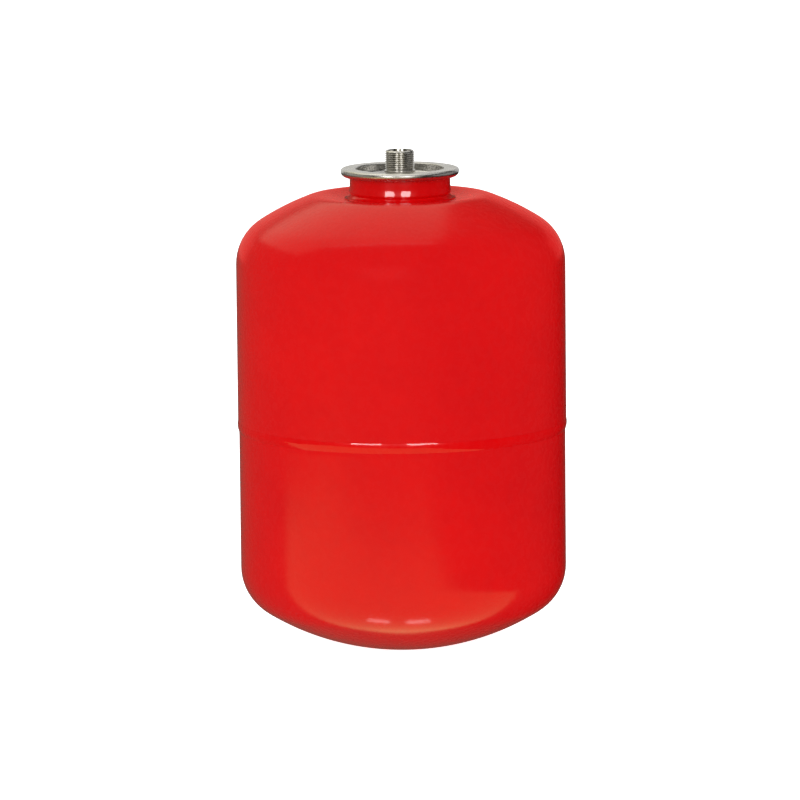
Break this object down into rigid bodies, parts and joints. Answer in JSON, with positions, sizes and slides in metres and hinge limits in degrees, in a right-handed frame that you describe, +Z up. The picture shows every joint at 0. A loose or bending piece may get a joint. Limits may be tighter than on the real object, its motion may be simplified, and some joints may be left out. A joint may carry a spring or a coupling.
{
  "type": "expansion vessel",
  "caption": "Closed heating expansion vessel: dished steel tank in two welded halves, a flanged neck with a threaded water nipple on top, a rubber bag inside and a gas valve below.",
  "frame": {"origin": "middle of the flat ring the vessel stands on", "axes": "+Z up along the vessel's own axis, towards the water nipple; round about Z, so X and Y are free"},
  "size_m": [0.2954, 0.2954, 0.444],
  "materials": {
    "red_enamel": "gloss",
    "stainless_steel": "pressed sheet, half polished",
    "plated_steel": "bright zinc plate",
    "weld_metal": "as welded",
    "bag_rubber": "moulded",
    "seal_rubber": "moulded",
    "core_seal": "moulded",
    "brass": "turned",
    "spring_steel": "drawn wire",
    "cap_plastic": "moulded, fine texture"
  },
  "bodies": {
    "vessel": {"upper_shell": "red_enamel", "lower_shell": "red_enamel", "girth_weld": "red_enamel", "neck_collar": "red_enamel", "neck_weld": "red_enamel", "connection_flange": "stainless_steel", "nipple": "plated_steel", "nipple_weld": "weld_metal", "valve_boss": "red_enamel", "boss_weld": "weld_metal", "valve_stem": "brass", "stem_gasket": "seal_rubber", "core_plug": "brass", "core_barrel": "brass", "core_barrel_seal": "core_seal", "core_spring": "spring_steel"},
    "bag": {"membrane": "bag_rubber"},
    "core_pin": {"core_pin": "brass", "core_plunger_seal": "seal_rubber", "core_plunger_cup": "brass"},
    "cap_seal": {"valve_cap_seal": "seal_rubber"},
    "cap": {"valve_cap": "cap_plastic"}
  },
  "joints": [
    {"name": "membrane_stroke", "type": "slide", "parent": "vessel", "child": "bag", "axis": [0, 0, 1], "range_m": [0, 0.2], "stiffness_N_per_m": 60, "deforming": ["membrane"]},
    {"name": "core_press", "type": "slide", "parent": "vessel", "child": "core_pin", "axis": [0, 0, 1], "range_m": [0, 0.0015], "stiffness_N_per_m": 1500, "springref_m": -0.001, "deforming": ["core_spring"]},
    {"name": "cap_travel", "type": "slide", "parent": "vessel", "child": "cap_seal", "axis": [0, 0, -1], "range_m": [0, 0.00754]},
    {"name": "cap_turn", "type": "hinge", "parent": "cap_seal", "child": "cap", "pos_m": [0, 0, 0.0155], "axis": [0, 0, 1], "range_deg": [-3420, 0]}
  ],
  "couplings": [
    {"joint": "cap_turn", "follows": "cap_travel", "rad_per_m": -7913.3}
  ]
}
